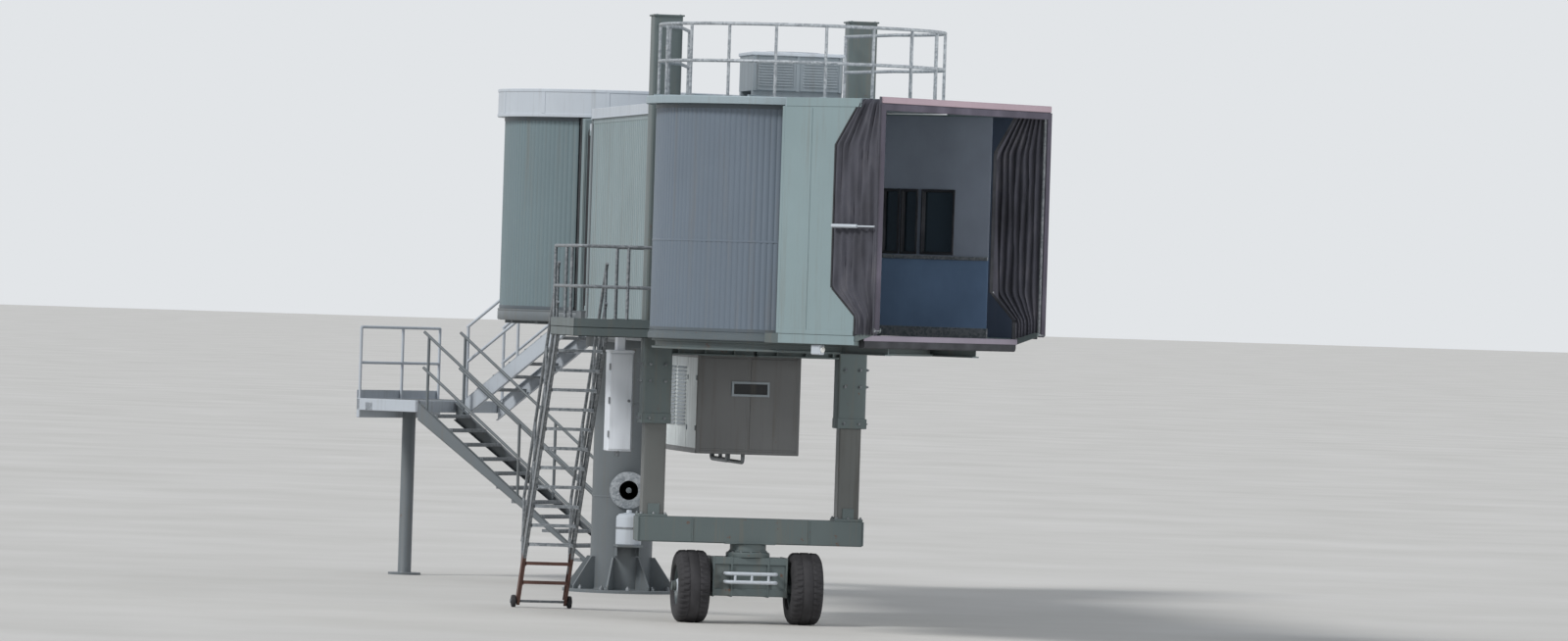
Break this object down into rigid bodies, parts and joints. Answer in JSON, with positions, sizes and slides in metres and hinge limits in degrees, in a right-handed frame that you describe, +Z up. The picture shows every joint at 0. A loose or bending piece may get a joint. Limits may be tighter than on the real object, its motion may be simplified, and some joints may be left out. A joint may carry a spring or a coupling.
{
  "type": "jet bridge",
  "caption": "Apron-drive passenger boarding bridge with a round pivot room, telescoping tunnels, lifting bogie and turning cab with canopy.",
  "frame": {"origin": "on the ground under the centre of the round pivot room, in the base plate's underside", "axes": "+X along the tunnels from the pivot room to the cab, +Y to the aircraft side, +Z up"},
  "size_m": [21.6143, 6.3473, 7.2],
  "materials": {
    "grey_green_paint": "satin",
    "slat_paint": "satin",
    "white_paint": "satin",
    "steel_paint": "satin",
    "galvanised": "matte",
    "unit_casing": "satin",
    "tyre": "matte",
    "bumper_rubber": "matte",
    "canopy_fabric": "matte",
    "window_glass": "clear"
  },
  "bodies": {
    "fixed": {"rotunda_column": "steel_paint", "rotunda_floor": "steel_paint", "rotunda_roof": "white_paint", "corridor_floor": "steel_paint", "corridor_door_wall": "slat_paint", "corridor_plain_wall": "slat_paint", "corridor_roof": "white_paint", "egress_door": "white_paint", "egress_landing": "white_paint", "egress_mid_landing": "white_paint", "egress_upper_flight": "white_paint", "egress_lower_flight": "steel_paint", "hose_reel": "galvanised", "hose_canister": "white_paint"},
    "swing": {"swing_frame": "steel_paint", "throat_left_wall": "grey_green_paint", "throat_right_wall": "grey_green_paint", "throat_roof": "grey_green_paint", "rotunda_left_curtain": "slat_paint", "rotunda_right_curtain": "slat_paint"},
    "inner_tunnel": {"hinge_bellows": "bumper_rubber", "inner_tunnel_floor": "steel_paint", "inner_left_wall": "grey_green_paint", "inner_right_wall": "grey_green_paint", "inner_tunnel_roof": "white_paint"},
    "outer_tunnel": {"outer_tunnel_floor": "steel_paint", "outer_left_wall": "grey_green_paint", "outer_right_wall": "grey_green_paint", "outer_tunnel_roof": "white_paint", "service_door": "grey_green_paint", "service_door_glass": "window_glass", "bubble_floor": "white_paint", "bubble_roof": "white_paint", "lift_left_column": "steel_paint", "lift_right_column": "steel_paint", "roof_ladder": "galvanised", "guard_rail": "galvanised", "roof_unit": "unit_casing", "air_unit": "unit_casing", "power_cabinet": "white_paint", "service_landing": "galvanised", "cab_left_curtain": "slat_paint", "cab_right_curtain": "slat_paint"},
    "lift": {"lift_legs": "galvanised", "cross_beam": "steel_paint"},
    "bogie": {"bogie_frame": "steel_paint"},
    "left_wheel_body": {"left_wheel": "tyre"},
    "right_wheel_body": {"right_wheel": "tyre"},
    "cab": {"cab_floor": "steel_paint", "cab_window_wall": "grey_green_paint", "cab_plain_wall": "grey_green_paint", "cab_roof": "white_paint", "cab_bumper": "bumper_rubber", "cab_windows": "window_glass"},
    "canopy": {"canopy_hoop": "canopy_fabric", "canopy_bellows": "canopy_fabric"},
    "stair": {"service_stair": "galvanised"},
    "stair_foot": {"stair_wheels": "tyre"}
  },
  "joints": [
    {"name": "rotunda_swing", "type": "hinge", "parent": "fixed", "child": "swing", "pos_m": [0, 0, 3.3], "axis": [0, 0, 1], "range_deg": [-85, 45], "deforming": ["rotunda_left_curtain", "rotunda_right_curtain"]},
    {"name": "tunnel_pitch", "type": "hinge", "parent": "swing", "child": "inner_tunnel", "pos_m": [1.96, 0, 3.555], "axis": [0, -1, 0], "range_deg": [-5, 3], "deforming": ["hinge_bellows"]},
    {"name": "tunnel_extend", "type": "slide", "parent": "inner_tunnel", "child": "outer_tunnel", "axis": [1, 0, 0], "range_m": [0, 5]},
    {"name": "lift", "type": "slide", "parent": "outer_tunnel", "child": "lift", "axis": [0, 0, -1], "range_m": [-0.729, 0.441]},
    {"name": "bogie_steer", "type": "hinge", "parent": "lift", "child": "bogie", "pos_m": [10.2, 0, 0.85], "axis": [0, 0, 1], "range_deg": [-90, 90]},
    {"name": "left_wheel_spin", "type": "hinge", "parent": "bogie", "child": "left_wheel_body", "pos_m": [10.2, -0.68, 0.43], "axis": [0, 1, 0], "continuous": true},
    {"name": "right_wheel_spin", "type": "hinge", "parent": "bogie", "child": "right_wheel_body", "pos_m": [10.2, 0.68, 0.43], "axis": [0, 1, 0], "continuous": true},
    {"name": "cab_rotate", "type": "hinge", "parent": "outer_tunnel", "child": "cab", "pos_m": [13, 0, 3.37], "axis": [0, 0, 1], "range_deg": [-75, 12], "deforming": ["cab_left_curtain", "cab_right_curtain"]},
    {"name": "canopy_fold", "type": "hinge", "parent": "cab", "child": "canopy", "pos_m": [14.80213, 1.62264, 3.55], "axis": [-0.6691, 0.7431, 0], "range_deg": [0, 10], "deforming": ["canopy_bellows"]},
    {"name": "service_stair_tilt", "type": "hinge", "parent": "outer_tunnel", "child": "stair", "pos_m": [9.39, 0, 3.41], "axis": [0, -1, 0], "range_deg": [-8.48, 5.17]},
    {"name": "stair_foot_spin", "type": "hinge", "parent": "stair", "child": "stair_foot", "pos_m": [6.5916, 0, 0.075], "axis": [0, 1, 0], "continuous": true}
  ],
  "couplings": [
    {"joint": "lift", "follows": "tunnel_pitch", "m_per_rad": 8.24},
    {"joint": "service_stair_tilt", "follows": "tunnel_pitch", "ratio": 1.6551}
  ]
}
